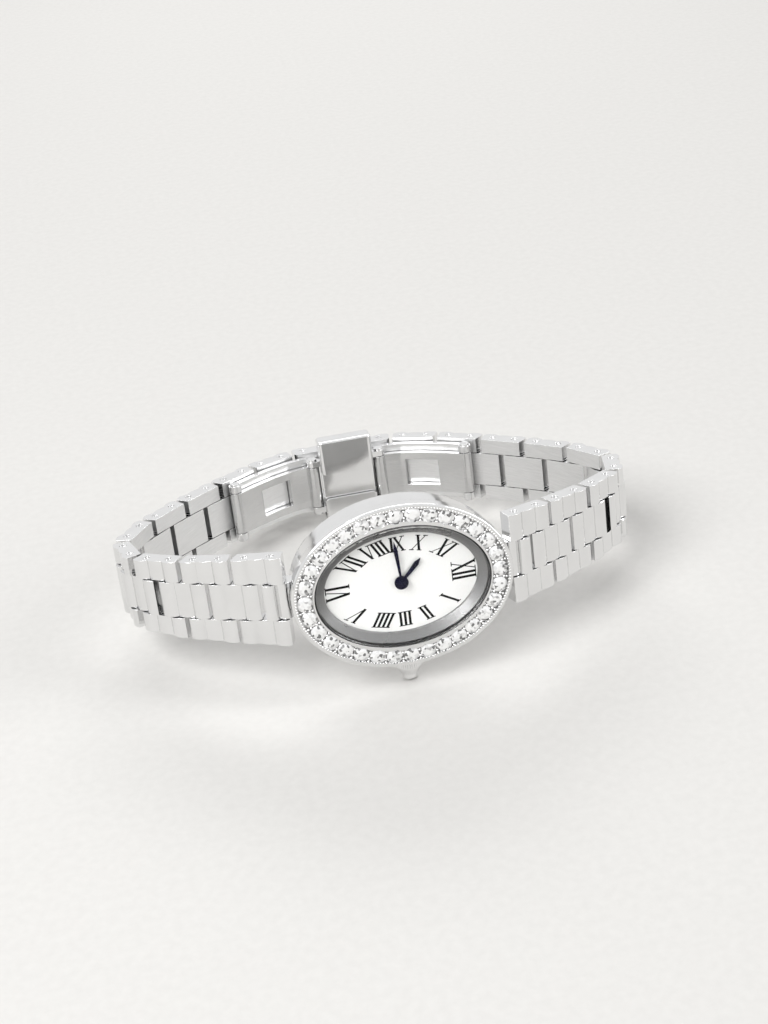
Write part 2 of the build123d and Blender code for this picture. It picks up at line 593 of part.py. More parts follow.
# Outer blade: the arm, its two knuckles, the fold pin, and the end links that hide the clasp from outside.
arm = leaf(ARM_TIP_PLACE, arm_near, arm_far, ARM_WIDTH)
arm += at_hinge(arm_hinge, across(2 * knuckle_radius, ARM_WIDTH))
arm -= at_hinge(arm_hinge, across(2 * knuckle_radius + 2 * KNUCKLE_GAP, inner_knuckle))
arm -= at_hinge(arm_hinge, across(CLASP_PIN_DIAMETER, ARM_WIDTH + OVERRUN))
slot_reach = lug_overhang + NOSE_SLOT_MARGIN
arm -= block((last_pin.X - slot_reach, last_pin.X + slot_reach), (0, arm_far + OVERRUN),
             CENTRE_WIDTH + 2 * SIDE_CLEARANCE)
arm += Pos(CATCH_POST_PLACE, clasp_y - arm_far, 0) * Rot(90, 0, 0) * post(CATCH_POST_DIAMETER,
                                                                         -LEAF_THICKNESS / 2, CATCH_POST_LENGTH)
fold_pin = at_hinge(arm_hinge, across(CLASP_PIN_DIAMETER, ARM_WIDTH))
for side in (1, -1):
    head_place = Pos(arm_hinge.X, arm_hinge.Y, side * (ARM_WIDTH + PIN_HEAD_HEIGHT) / 2)
    fold_pin += head_place * across(PIN_HEAD_DIAMETER, PIN_HEAD_HEIGHT)

# In the end links' own frame X runs from the last pin to the clasp's middle, as in a bracelet link.
at_clasp = Pos(last_pin.X, last_pin.Y, 0) * Rot(0, 0, HALF_LOOP_TURN)
end_link_reach = last_pin.X - END_LINK_GAP / 2
end_width = CLASP_WIDTH / 2 - CENTRE_WIDTH / 2 - SIDE_CLEARANCE
end_side = extrude(ribbed_face(link_start, end_link_reach, LINK_RIBS, arm_near), amount=end_width)
end_side = Pos(0, 0, CLASP_WIDTH / 2 - end_width) * end_side
end_side -= Rot(0, 0, HALF_LOOP_TURN) * nose_corner
end_side -= across(PIN_DIAMETER, 2 * CLASP_WIDTH)
end_side = at_clasp * end_side
end_centre_face = ribbed_face(lug_overhang + LINK_GAP, end_link_reach, END_CENTRE_RIBS, arm_near)
end_centre = at_clasp * extrude(end_centre_face, amount=CENTRE_WIDTH / 2, both=True)
end_pin = at_hinge(last_pin, across(PIN_DIAMETER, CLASP_WIDTH - 2 * PIN_RECESS))
both_sides("outer_blade", together([arm, fold_pin, end_side, mirror(end_side, Plane.XY), end_centre, end_pin]))

# Inner blade: a windowed leaf between the fold hinge and the clasp body.
inner_blade = leaf(BODY_HINGE_PLACE, fold_near, fold_far, FOLD_LEAF_WIDTH)
inner_blade += knuckle_ring(arm_hinge, FOLD_LEAF_WIDTH, clasp_pin_hole)
inner_blade += knuckle_ring(body_hinge, FOLD_LEAF_WIDTH, clasp_pin_hole)
for hinge in (arm_hinge, body_hinge):
    inner_blade -= at_hinge(hinge, across(clasp_pin_hole, FOLD_LEAF_WIDTH + OVERRUN))
window_middle = inside_pin(PIN_COUNT - 2, (fold_near + fold_far) / 2)
inner_blade -= at_hinge(window_middle, Rot(0, 0, directions[PIN_COUNT - 2]) * Box(
    WINDOW_LENGTH, BODY_THICKNESS, WINDOW_WIDTH))
both_sides("inner_blade", inner_blade)
right_blade_pin = at_hinge(body_hinge, across(clasp_pin_hole, FOLD_LEAF_WIDTH))
nodes["right_inner_blade"] = together([inner_blade, right_blade_pin])

# Clasp body: the catch plate between the two inner blades, with an ear each side of their knuckles.
# The left pin runs through its blade. The right one ends in the ears, and the blade carries its middle.
EAR_SLOT_MARGIN = 0.3
BUTTON_STEM_DIAMETER = 1.0
BUTTON_STEM_LENGTH = 2.2

ear_width = (BODY_WIDTH - inner_knuckle) / 2
ear_slot = 2 * (knuckle_radius + EAR_SLOT_MARGIN)
clasp_body = block((-BODY_HINGE_PLACE, BODY_HINGE_PLACE), (fold_near, body_far), BODY_WIDTH)
for side in (1, -1):
    hinge_side = Vector(side * body_hinge.X, body_hinge.Y)
    clasp_body += at_hinge(hinge_side, across(BODY_THICKNESS, BODY_WIDTH))
    clasp_body -= at_hinge(hinge_side, Box(ear_slot, 2 * BODY_THICKNESS, inner_knuckle))
    post_x = side * CATCH_POST_PLACE
    catch_hole = Rot(90, 0, 0) * post(CATCH_POST_DIAMETER + 2 * CATCH_CLEARANCE, -OVERRUN / 2,
                                      CATCH_POST_LENGTH + LEAF_GAP)
    clasp_body -= Pos(post_x, clasp_y - fold_near, 0) * catch_hole
    clasp_body -= at_hinge(hinge_side, across(CLASP_PIN_DIAMETER, BODY_WIDTH + OVERRUN))
stem_depth = (fold_near + body_far) / 2
stem_y = clasp_y - stem_depth
button_hole = BUTTON_STEM_DIAMETER + 2 * RUNNING_CLEARANCE
clasp_body -= Pos(0, stem_y, 0) * across(button_hole, BODY_WIDTH + OVERRUN)
body_pin = across(CLASP_PIN_DIAMETER, BODY_WIDTH)
for end in (1, -1):
    pin_head = across(PIN_HEAD_DIAMETER, PIN_HEAD_HEIGHT)
    body_pin += Pos(0, 0, end * (BODY_WIDTH + PIN_HEAD_HEIGHT) / 2) * pin_head
left_pin = Pos(-body_hinge.X, body_hinge.Y, 0) * body_pin
right_pins = at_hinge(body_hinge, body_pin - Box(BODY_THICKNESS, BODY_THICKNESS, BODY_WIDTH - 2 * ear_width))
nodes["clasp_body"] = together([clasp_body, left_pin, right_pins])

# Push buttons: one each side of the clasp body, sliding in to free the arms, each with a lip before the body.
BUTTON_LENGTH = 7.5
BUTTON_THICKNESS = 2.75
BUTTON_REACH = 2.2
BUTTON_GAP = 0.1
BUTTON_CORNER = 0.6
BUTTON_LIP_END = 1.8
BUTTON_LIP_GAP = 0.15

button_inner = CLASP_WIDTH / 2 + BUTTON_GAP
button_outer = CLASP_WIDTH / 2 + BUTTON_REACH
button_outline = RectangleRounded(BUTTON_LENGTH, BUTTON_THICKNESS, BUTTON_CORNER)
push_button = Pos(0, 0, button_inner) * extrude(button_outline, amount=button_outer - button_inner)
push_button = fillet(push_button.edges().group_by(Axis.Z)[-1], CONTACT_ROUNDING)
push_button += post(BUTTON_STEM_DIAMETER, button_inner - BUTTON_STEM_LENGTH - BUTTON_GAP, button_inner)
lip_near = BODY_THICKNESS / 2 + BUTTON_LIP_GAP
lip_height = button_inner + BUTTON_CORNER - BUTTON_LIP_END
lip_face = RectangleRounded(BUTTON_LENGTH, lip_height, BUTTON_CORNER)
lip = Rot(90, 0, 0) * extrude(lip_face, amount=BUTTON_THICKNESS / 2 - lip_near)
lip = Pos(0, -lip_near, BUTTON_LIP_END + lip_height / 2) * lip
push_button += lip & Pos(0, 0, BUTTON_LIP_END) * extrude(button_outline, amount=lip_height)
push_button = Pos(0, stem_y, 0) * push_button
nodes["push_button_top"] = push_button
nodes["push_button_bottom"] = mirror(push_button, Plane.XY)

# Lean: the crown's tip and the lower button's back edge have one rounding, so both touch the table.
crown_contact_y = CROWN_TIP_DIAMETER / 2 - STEM_PLACE
button_contact_y = stem_y + BUTTON_THICKNESS / 2
lean = math.degrees(math.atan2(crown_end - button_outer, button_contact_y - crown_contact_y))
tilt = Rot(-lean, 0, 0)
leaning = {name: tilt * shape for name, shape in nodes.items()}
boxes = [shape.bounding_box() for shape in leaning.values()]
middle_x = (min(box.min.X for box in boxes) + max(box.max.X for box in boxes)) / 2
middle_y = (min(box.min.Y for box in boxes) + max(box.max.Y for box in boxes)) / 2
settle = Pos(-middle_x, -middle_y, -min(box.min.Z for box in boxes))
for name, shape in leaning.items():
    export_step(settle * shape, f"parts/{name}.step")
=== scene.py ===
import json

import bpy
import numpy as np
from mathutils import Matrix, Vector


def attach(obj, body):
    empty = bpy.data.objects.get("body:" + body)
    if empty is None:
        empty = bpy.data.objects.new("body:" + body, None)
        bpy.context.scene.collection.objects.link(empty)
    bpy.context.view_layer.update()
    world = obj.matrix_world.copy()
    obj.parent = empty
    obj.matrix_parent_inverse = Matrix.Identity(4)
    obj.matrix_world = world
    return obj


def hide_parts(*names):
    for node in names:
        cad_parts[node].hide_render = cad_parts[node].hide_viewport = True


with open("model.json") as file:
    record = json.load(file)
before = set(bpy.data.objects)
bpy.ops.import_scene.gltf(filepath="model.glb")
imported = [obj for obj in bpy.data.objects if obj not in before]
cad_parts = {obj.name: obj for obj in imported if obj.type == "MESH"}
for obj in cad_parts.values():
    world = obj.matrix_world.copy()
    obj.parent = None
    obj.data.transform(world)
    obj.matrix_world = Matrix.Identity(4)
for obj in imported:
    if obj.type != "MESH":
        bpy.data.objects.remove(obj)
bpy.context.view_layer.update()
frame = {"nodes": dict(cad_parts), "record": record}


# Case middle. The oval band of the case with a lug at each end, turned from one bar of
# steel and mirror-polished; the bezel and the back are pressed into it.

# The head's own directions, read from the joint of the minute hand: its axis points into the
# dial. One runs along to 12 o'clock, one up to 9 o'clock and one out of the dial.
joints = frame["record"]["behaviour"]["joints"]
minute_turn = next(joint for joint in joints if joint["name"] == "minute_turn")
HEAD_CENTRE = np.array(minute_turn["pos_m"])
OUT_OF_DIAL = -np.array(minute_turn["axis"])
TO_TWELVE = np.array([1.0, 0.0, 0.0])
TO_NINE = np.cross(OUT_OF_DIAL, TO_TWELVE)
LEAN = float(np.arcsin(OUT_OF_DIAL[2]))
ALONG_HEAD = (LEAN, 0.0, 0.0)


def material(name):
    """An empty node material and its Principled shader."""
    made = bpy.data.materials.new(name)
    made.use_nodes = True
    return made, made.node_tree.nodes["Principled BSDF"]


def object_coordinates(made, scale, turn=(0, 0, 0)):
    """Object coordinates in metres, turned and multiplied by scale per axis."""
    nodes = made.node_tree.nodes
    place = nodes.new("ShaderNodeTexCoord")
    mapping = nodes.new("ShaderNodeMapping")
    mapping.inputs["Rotation"].default_value = turn
    mapping.inputs["Scale"].default_value = scale
    made.node_tree.links.new(place.outputs["Object"], mapping.inputs["Vector"])
    return mapping.outputs["Vector"]


def noise(made, vector, scale, detail=3.0):
    """Cloud noise from 0 to 1, with scale waves to one unit of the vector."""
    node = made.node_tree.nodes.new("ShaderNodeTexNoise")
    node.inputs["Scale"].default_value = scale
    node.inputs["Detail"].default_value = detail
    made.node_tree.links.new(vector, node.inputs["Vector"])
    return node.outputs["Fac"]


def ramp(made, value, stops):
    """Colours or greys against a value: each stop is (value, grey) or (value, (r, g, b))."""
    node = made.node_tree.nodes.new("ShaderNodeValToRGB")
    while len(node.color_ramp.elements) < len(stops):
        node.color_ramp.elements.new(0.5)
    for element, (place, colour) in zip(node.color_ramp.elements, stops):
        element.position = place
        element.color = (*(colour if isinstance(colour, tuple) else (colour,) * 3), 1)
    made.node_tree.links.new(value, node.inputs["Fac"])
    return node.outputs["Color"]


EDGE_SAMPLES = 6


def bumped(made, shader, height, distance, strength, rounding=0.0):
    """Surface relief of that height in metres, over edges rounded by a small radius."""
    nodes, links = made.node_tree.nodes, made.node_tree.links
    bump = nodes.new("ShaderNodeBump")
    bump.inputs["Distance"].default_value = distance
    bump.inputs["Strength"].default_value = strength
    links.new(height, bump.inputs["Height"])
    if rounding:
        edge = nodes.new("ShaderNodeBevel")
        edge.samples = EDGE_SAMPLES
        edge.inputs["Radius"].default_value = rounding
        links.new(edge.outputs["Normal"], bump.inputs["Normal"])
    links.new(bump.outputs["Normal"], shader.inputs["Normal"])


POLISHED_GREY = 0.80
WORN_GREY = 0.77
HAIRLINE_DEPTH = 0.0000012
POLISHED_ROUNDING = 0.00006


def polished_steel(name):
    """Mirror-polished steel: faint cloudy wear in its gloss and hairlines only a micron deep."""
    made, shader = material(name)
    shader.inputs["Metallic"].default_value = 1.0
    place = object_coordinates(made, (1, 1, 1))
    wear = noise(made, place, 420.0)
    made.node_tree.links.new(ramp(made, wear, [(0.3, WORN_GREY), (0.7, POLISHED_GREY)]),
                             shader.inputs["Base Color"])
    made.node_tree.links.new(ramp(made, wear, [(0.35, 0.05), (0.75, 0.12)]), shader.inputs["Roughness"])
    hairlines = noise(made, object_coordinates(made, (900, 900, 14000), ALONG_HEAD), 1.0, 2.0)
    bumped(made, shader, hairlines, HAIRLINE_DEPTH, 0.35, POLISHED_ROUNDING)
    return made


def finish(names, made):
    """Give CAD nodes a material."""
    for name in names:
        slots = frame["nodes"][name].material_slots
        for place in slots:
            place.material = made


polished = polished_steel("polished_steel")
finish(["case_middle"], polished)

# Case back. An oval steel cover pressed in from behind, brushed lengthwise, with a polished
# rounded edge; it seals on a rubber ring.
BRUSHED_LIGHT = 0.62
BRUSHED_DARK = 0.50
BRUSHED_ROUNDING = 0.00008


def brushed_steel(name, light, dark, rough, turn=ALONG_HEAD, grain=(500, 500, 22000),
                  depth=0.000006):
    """Satin steel: fine parallel lines, from noise drawn out along the brushing."""
    made, shader = material(name)
    shader.inputs["Metallic"].default_value = 1.0
    lines = noise(made, object_coordinates(made, grain, turn), 1.0, 4.0)
    made.node_tree.links.new(ramp(made, lines, [(0.3, dark), (0.7, light)]), shader.inputs["Base Color"])
    made.node_tree.links.new(ramp(made, lines, [(0.3, rough + 0.08), (0.7, rough - 0.06)]),
                             shader.inputs["Roughness"])
    bumped(made, shader, lines, depth, 0.6, BRUSHED_ROUNDING)
    return made


brushed = brushed_steel("brushed_steel", BRUSHED_LIGHT, BRUSHED_DARK, 0.34)
finish(["case_back"], brushed)

# Movement. A quartz module on one oval plate of nickel-plated brass with straight graining;
# the gilt wheels of the motion work run under the dial.
nickel = brushed_steel("nickel_plate", 0.60, 0.50, 0.36, (LEAN, 0.0, 0.4), (600, 600, 9000))
finish(["movement_plate"], nickel)


def brass_finish(name):
    """Gilt brass: warm yellow with cloudy tarnish."""
    made, shader = material(name)
    shader.inputs["Metallic"].default_value = 1.0
    cloud = noise(made, object_coordinates(made, (1, 1, 1)), 1500.0)
    made.node_tree.links.new(ramp(made, cloud, [(0.3, (0.70, 0.50, 0.20)), (0.7, (0.83, 0.63, 0.30))]),
                             shader.inputs["Base Color"])
    made.node_tree.links.new(ramp(made, cloud, [(0.3, 0.34), (0.7, 0.2)]), shader.inputs["Roughness"])
    bumped(made, shader, cloud, 0.000003, 0.5, 0.00002)
    return made


brass = brass_finish("gilt_brass")
finish(["hour_wheel", "minute_wheel", "cannon_pinion"], brass)

# Battery. A steel button cell in a pocket of the movement; its can is deep-drawn and satin
# all over.
battery_can = brushed_steel("battery_can", 0.66, 0.55, 0.3, ALONG_HEAD, (3000, 3000, 3000), 0.000002)
finish(["battery"], battery_can)


# Seals. Thin rings of black rubber: one grips the crystal and shows as a dark line round it,
# the other lies in a groove under the back.
def rubber(name):
    """Black rubber, a little dusty in its fine pores."""
    made, shader = material(name)
    pores = noise(made, object_coordinates(made, (1, 1, 1)), 9000.0)
    made.node_tree.links.new(ramp(made, pores, [(0.3, 0.006), (0.75, 0.016)]), shader.inputs["Base Color"])
    made.node_tree.links.new(ramp(made, pores, [(0.3, 0.5), (0.7, 0.65)]), shader.inputs["Roughness"])
    bumped(made, shader, pores, 0.000004, 0.4)
    return made


black_rubber = rubber("black_rubber")
finish(["case_gaskets"], black_rubber)

# Flange. A turned grey steel ring that slopes from the crystal to the dial, smooth and
# slightly satin, held down by the bezel.
flange_steel = brushed_steel("flange_steel", 0.30, 0.27, 0.27, ALONG_HEAD, (150, 150, 150), 0.0)
finish(["dial_flange"], flange_steel)


# Dial. A thin brass disc, silvered and grained to a soft white, held under the flange. The
# numerals are pad-printed on it in black.
def silvered(name):
    """Silvered white: a soft metallic paint with very fine upright grain."""
    made, shader = material(name)
    shader.inputs["Metallic"].default_value = 0.25
    shader.inputs["Specular IOR Level"].default_value = 0.4
    grain = noise(made, object_coordinates(made, (26000, 2500, 2500), ALONG_HEAD), 1.0, 3.0)
    made.node_tree.links.new(ramp(made, grain, [(0.3, (0.70, 0.70, 0.685)), (0.7, (0.75, 0.75, 0.74))]),
                             shader.inputs["Base Color"])
    made.node_tree.links.new(ramp(made, grain, [(0.3, 0.42), (0.7, 0.34)]), shader.inputs["Roughness"])
    bumped(made, shader, grain, 0.000002, 0.4)
    return made


finish(["dial"], silvered("silvered_dial"))


def on_head(x, y, z):
    """World place of a point of the head, in mm towards 12, towards 9 and out of the dial."""
    x, y, z = np.broadcast_arrays(x, y, z)
    return HEAD_CENTRE + 0.001 * (
        x[..., None] * TO_TWELVE + y[..., None] * TO_NINE + z[..., None] * OUT_OF_DIAL)


def solid_mesh(name, vertices, faces, smooth=True):
    """A new object at the origin from vertices in metres and faces of any size."""
    mesh = bpy.data.meshes.new(name)
    face_corners = [tuple(map(int, face)) for face in faces]
    mesh.from_pydata(np.asarray(vertices).reshape(-1, 3).tolist(), [], face_corners)
    mesh.polygons.foreach_set("use_smooth", np.full(len(mesh.polygons), smooth))
    mesh.update()
    made = bpy.data.objects.new(name, mesh)
    bpy.context.scene.collection.objects.link(made)
    return made


DIAL_LEVEL = 1.45
NUMERAL_OUTER = (9.2, 5.8)
NUMERAL_INNER = (6.3, 4.0)
STEM_WIDTH = 0.31
HAIR_WIDTH = 0.12
SERIF_REACH = 0.13
STEM_STEP = 0.56
INK_THICKNESS = 0.012
NUMERALS = ["XII", "I", "II", "III", "IIII", "V", "VI", "VII", "VIII", "IX", "X", "XI"]
LETTER_WIDTHS = {"I": STEM_STEP, "V": 1.3, "X": 1.25}


def letter_strokes(letter, middle):
    """Strokes of one letter as rows (foot place, foot height, top place, top height, width).

    Heights run from 0 to 1, and a negative width marks a level stroke."""
    half = (LETTER_WIDTHS[letter] - STEM_WIDTH) / 2
    serif = STEM_WIDTH / 2 + SERIF_REACH
    hair = HAIR_WIDTH

    def foot_serif(place, height):
        return [(place - serif, height, place + serif, height, -hair)]

    if letter == "I":
        stem = [(middle, 0, middle, 1, STEM_WIDTH)]
        return stem + foot_serif(middle, 0) + foot_serif(middle, 1)
    if letter == "V":
        return ([(middle, 0, middle - half, 1, STEM_WIDTH), (middle, 0, middle + half, 1, hair)]
                + foot_serif(middle - half, 1) + foot_serif(middle + half, 1))
    return ([(middle + half, 0, middle - half, 1, STEM_WIDTH),
             (middle - half, 0, middle + half, 1, hair)]
            + foot_serif(middle - half, 1) + foot_serif(middle + half, 1)
            + foot_serif(middle - half, 0) + foot_serif(middle + half, 0))


def numeral_mesh():
    """Each stroke is a thin slab, its corners half its width to either side of its own line.

    A point at place s and height h of the numeral at angle a from 12 o'clock lies on the ray at
    a, at r = inner + h * (outer - inner), and is moved s along the oval's own direction there. An
    oval with half axes p and q has the radius 1 / sqrt((cos a / p)^2 + (sin a / q)^2)."""
    vertices, faces = [], []
    for index, numeral in enumerate(NUMERALS):
        angle = -index * np.pi / 6
        ray = np.array([np.cos(angle), np.sin(angle)])
        inner, outer = (1 / np.linalg.norm(ray / half_axes)
                        for half_axes in (NUMERAL_INNER, NUMERAL_OUTER))
        depth = outer - inner
        along = np.array([ray[1] / NUMERAL_OUTER[1] ** 2, -ray[0] / NUMERAL_OUTER[0] ** 2])
        along /= np.linalg.norm(along)
        width = sum(LETTER_WIDTHS[letter] for letter in numeral)
        place = -width / 2
        for letter in numeral:
            middle = place + LETTER_WIDTHS[letter] / 2
            place += LETTER_WIDTHS[letter]
            for s0, h0, s1, h1, stroke in letter_strokes(letter, middle):
                half = abs(stroke) / 2
                if stroke > 0:
                    corners = [(s0 - half, h0), (s0 + half, h0), (s1 + half, h1), (s1 - half, h1)]
                else:
                    rise = half / depth
                    corners = [(s0, h0 - rise), (s1, h0 - rise), (s1, h0 + rise), (s0, h0 + rise)]
                flat = np.array([(inner + depth * h) * ray + s * along for s, h in corners])
                if np.cross(flat[1] - flat[0], flat[2] - flat[1]) < 0:
                    flat = flat[::-1]
                first = len(vertices)
                for level in (DIAL_LEVEL, DIAL_LEVEL + INK_THICKNESS):
                    vertices.extend(on_head(flat[:, 0], flat[:, 1], np.full(4, level)))
                faces.append([first + 4, first + 5, first + 6, first + 7])
                for side in range(4):
                    after = (side + 1) % 4
                    faces.append([first + side, first + after, first + 4 + after, first + 4 + side])
    return solid_mesh("dial_numerals", vertices, faces, smooth=False)


def printing_ink(name):
    """Matt black ink with a little unevenness from the pad."""
    made, shader = material(name)
    cloud = noise(made, object_coordinates(made, (1, 1, 1)), 6000.0)
    shader.inputs["Specular IOR Level"].default_value = 0.1
    made.node_tree.links.new(ramp(made, cloud, [(0.3, 0.003), (0.7, 0.008)]), shader.inputs["Base Color"])
    made.node_tree.links.new(ramp(made, cloud, [(0.3, 0.4), (0.7, 0.55)]), shader.inputs["Roughness"])
    return made


numerals = numeral_mesh()
numerals.data.materials.append(printing_ink("printing_ink"))
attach(numerals, "head")


# Hands. Flat sword-shaped hands of tempered steel, heated until they turn dark blue, pushed
# on the hour pipe and the cannon pinion.
def blued(name):
    """Tempered steel: dark blue shading into violet where the heat was less even."""
    made, shader = material(name)
    shader.inputs["Metallic"].default_value = 0.3
    shader.inputs["Specular IOR Level"].default_value = 0.25
    cloud = noise(made, object_coordinates(made, (1, 1, 1)), 700.0)
    blue = ramp(made, cloud, [(0.3, (0.001, 0.0015, 0.012)), (0.7, (0.003, 0.0025, 0.02))])
    made.node_tree.links.new(blue, shader.inputs["Base Color"])
    made.node_tree.links.new(ramp(made, cloud, [(0.3, 0.2), (0.7, 0.3)]), shader.inputs["Roughness"])
    grain = noise(made, object_coordinates(made, (9000, 9000, 9000)), 1.0)
    bumped(made, shader, grain, 0.000002, 0.3, 0.00003)
    return made


finish(["hour_hand", "minute_hand"], blued("blued_steel"))


# Crystal. A domed oval of clear sapphire held in the bezel by the black seal; it throws no
# shadow of its own on the dial.
COATED_IOR = 1.14


def clear_sapphire(name):
    """Clear sapphire; its low index stands for an anti-glare coating, so it mirrors very little."""
    made, shader = material(name)
    shader.inputs["Base Color"].default_value = (1.0, 1.0, 1.0, 1)
    shader.inputs["IOR"].default_value = COATED_IOR
    shader.inputs["Transmission Weight"].default_value = 1.0
    nodes, links = made.node_tree.nodes, made.node_tree.links
    film = noise(made, object_coordinates(made, (1, 1, 1)), 500.0)
    links.new(ramp(made, film, [(0.4, 0.0), (0.8, 0.008)]), shader.inputs["Roughness"])
    clear = nodes.new("ShaderNodeBsdfTransparent")
    path = nodes.new("ShaderNodeLightPath")
    either = nodes.new("ShaderNodeMixShader")
    links.new(path.outputs["Is Shadow Ray"], either.inputs["Fac"])
    links.new(shader.outputs["BSDF"], either.inputs[1])
    links.new(clear.outputs["BSDF"], either.inputs[2])
    links.new(either.outputs["Shader"], nodes["Material Output"].inputs["Surface"])
    return made


finish(["crystal"], clear_sapphire("clear_sapphire"))

# Bezel. A polished steel ring pressed on the case, with a sunk band of stone seats; small
# beads raised from the same metal hold the stones, and a milled line runs inside the rim.
BEZEL_LENGTH = 27.2
BEZEL_WIDTH = 20.9
BEZEL_TOP = 3.3
STONE_RING_LENGTH = 24.0
STONE_RING_WIDTH = 18.2
BAND_STOPS = (0.458, 0.464, 0.538, 0.544)
BAND_SHADE = 0.25


def set_bezel_steel(name):
    """Polished steel, darkened between the stones where the band is sunk: painted shade, with some dark
    polish residue.

    The oval value of a point is half the length of (x over the ring's half length, y over its
    half width), from mm; the sunk band lies where it is near a half."""
    made = polished_steel(name)
    nodes, links = made.node_tree.nodes, made.node_tree.links
    place = nodes.new("ShaderNodeTexCoord")
    from_centre = nodes.new("ShaderNodeVectorMath")
    from_centre.operation = "SUBTRACT"
    from_centre.inputs[1].default_value = HEAD_CENTRE.tolist()
    links.new(place.outputs["Object"], from_centre.inputs[0])
    oval = nodes.new("ShaderNodeCombineXYZ")
    for axis, half, socket in ((TO_TWELVE, STONE_RING_LENGTH / 2, "X"),
                               (TO_NINE, STONE_RING_WIDTH / 2, "Y")):
        part = nodes.new("ShaderNodeVectorMath")
        part.operation = "DOT_PRODUCT"
        part.inputs[1].default_value = (axis * 0.5 * 1000 / half).tolist()
        links.new(from_centre.outputs["Vector"], part.inputs[0])
        links.new(part.outputs["Value"], oval.inputs[socket])
    value = nodes.new("ShaderNodeVectorMath")
    value.operation = "LENGTH"
    links.new(oval.outputs["Vector"], value.inputs[0])
    # The sunk band's base colour is multiplied down: painted shade between the stones, with some dark
    # polish residue.
    shades = (1.0, BAND_SHADE, BAND_SHADE, 1.0)
    band_shade_and_residue = ramp(made, value.outputs["Value"], list(zip(BAND_STOPS, shades)))
    shader = nodes["Principled BSDF"]
    painted_band_shade = nodes.new("ShaderNodeMix")
    painted_band_shade.data_type = "RGBA"
    painted_band_shade.blend_type = "MULTIPLY"
    painted_band_shade.inputs["Factor"].default_value = 1.0
    links.new(shader.inputs["Base Color"].links[0].from_socket, painted_band_shade.inputs["A"])
    links.new(band_shade_and_residue, painted_band_shade.inputs["B"])
    links.new(painted_band_shade.outputs["Result"], shader.inputs["Base Color"])
    return made


finish(["bezel"], set_bezel_steel("set_bezel_steel"))

OVAL_CHORDS = 7200
STONE_COUNT = 32
STONE_BAND_DEPTH = 0.22
RIM_WIDTH = 0.62
BEAD_RINGS = 3
BEAD_SIDES = 8
BEAD_RADIUS = 0.19
BEAD_OFFSETS = (-0.78, 0.78, -0.4, 0.4)
BEAD_SINK = 0.02
MILLING_RADIUS = 0.1
MILLING_COUNT = 190
MILLING_SPREAD = 0.25
MILLING_SINK = 0.03
MILLING_STRETCH = 1.7


def oval_walk(length, width, count, offset=0.0):
    """Places and outward directions at equal steps along an oval, from 12 o'clock towards 9.

    The oval is walked on short chords; each place is where their summed length reaches its
    share."""
    angle = np.linspace(0, 2 * np.pi, OVAL_CHORDS + 1)
    x, y = length / 2 * np.cos(angle), width / 2 * np.sin(angle)
    walked = np.concatenate([[0], np.cumsum(np.hypot(np.diff(x), np.diff(y)))])
    at = np.interp((np.arange(count) + offset) / count * walked[-1], walked, angle)
    out = np.stack([np.cos(at) * width, np.sin(at) * length], 1)
    out /= np.linalg.norm(out, axis=1)[:, None]
    return np.stack([length / 2 * np.cos(at), width / 2 * np.sin(at)], 1), out


def bead_mesh(name, places, radius, foot, stretch=1.0, along=None):
    """A dome on each place, round by u and longer along one way.

    At rise v its height is radius * sin(v) and its reach radius * cos(v)."""
    rings, around = BEAD_RINGS, BEAD_SIDES
    v = np.linspace(0, np.pi / 2, rings + 1)[:-1]
    u = np.arange(around) * 2 * np.pi / around
    reach = radius * np.cos(v)[:, None]
    flat_x = (reach * np.cos(u) * stretch).ravel()
    flat_y = (reach * np.sin(u)).ravel()
    height = np.repeat(radius * np.sin(v), around)
    flat_x, flat_y, height = np.append(flat_x, 0), np.append(flat_y, 0), np.append(height, radius)
    if along is None:
        along = np.tile([1.0, 0.0], (len(places), 1))
    side = np.stack([-along[:, 1], along[:, 0]], 1)
    x = places[:, :1] + flat_x * along[:, :1] + flat_y * side[:, :1]
    y = places[:, 1:] + flat_x * along[:, 1:] + flat_y * side[:, 1:]
    vertices = on_head(x, y, foot + height)
    faces = []
    size = len(flat_x)
    for number in range(len(places)):
        first = number * size
        for ring in range(rings - 1):
            for step in range(around):
                after = (step + 1) % around
                faces.append([first + ring * around + step, first + ring * around + after,
                              first + (ring + 1) * around + after, first + (ring + 1) * around + step])
        last = first + (rings - 1) * around
        for step in range(around):
            faces.append([last + step, last + (step + 1) % around, first + size - 1])
    return solid_mesh(name, vertices, faces)


between, outward = oval_walk(STONE_RING_LENGTH, STONE_RING_WIDTH, STONE_COUNT, 0.5)
bead_places = [between + offset * outward for offset in BEAD_OFFSETS]
beads = bead_mesh("bezel_beads", np.concatenate(bead_places), BEAD_RADIUS,
                  BEZEL_TOP - STONE_BAND_DEPTH - BEAD_SINK)
rim_length = BEZEL_LENGTH - 2 * RIM_WIDTH + MILLING_SPREAD
rim_width = BEZEL_WIDTH - 2 * RIM_WIDTH + MILLING_SPREAD
rim_places, rim_out = oval_walk(rim_length, rim_width, MILLING_COUNT)
milling = bead_mesh("bezel_milling", rim_places, MILLING_RADIUS, BEZEL_TOP - MILLING_SINK,
                    MILLING_STRETCH, rim_out)
for piece in (beads, milling):
    piece.data.materials.append(polished)
    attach(piece, "head")

# Stones. Thirty-two round brilliants in a row round the crystal, each with its table, eight
# kites and the smaller facets, dropped in a conical seat and held by the beads.
STONE_DIAMETER = 1.98
STONE_CROWN = 0.3
STONE_PAVILION = 0.75
STONE_TABLE = 1.05
GIRDLE = 0.02
KITE_BULGE = 0.03
KITE_LEVEL = 0.5
MAINS_REACH = 0.3
MAINS_LEVEL = 0.7
TURN_SEED = 5
PAINTED_SPARKLE_SCALE = 3100.0


